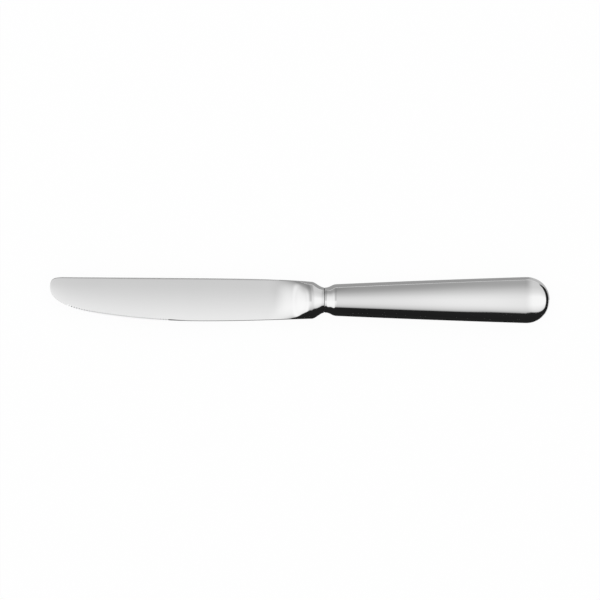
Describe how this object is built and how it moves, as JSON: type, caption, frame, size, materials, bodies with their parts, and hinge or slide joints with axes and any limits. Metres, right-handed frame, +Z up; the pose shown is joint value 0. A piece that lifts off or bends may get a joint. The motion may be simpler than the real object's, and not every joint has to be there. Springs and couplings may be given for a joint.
{
  "type": "dessert knife",
  "caption": "Polished steel dessert knife with a rounded, finely toothed blade, a swelling bolster, a drawn-in neck and a plain tapered hollow handle.",
  "frame": {"origin": "middle of the knife's box, on the surface that the knife lies on", "axes": "+X from the tip to the butt, +Y from the cutting edge to the spine, +Z up, square to the blade's broad side"},
  "size_m": [0.21, 0.0192, 0.0107],
  "materials": {
    "blade_steel": "polished",
    "handle_steel": "mirror polished",
    "silver_braze": "ground flush and polished",
    "cement": "cast, dull"
  },
  "bodies": {
    "root": {"blade": "blade_steel", "handle_shell_upper": "handle_steel", "handle_shell_lower": "handle_steel", "seam_braze": "silver_braze", "tang_cement": "cement"}
  },
  "joints": []
}
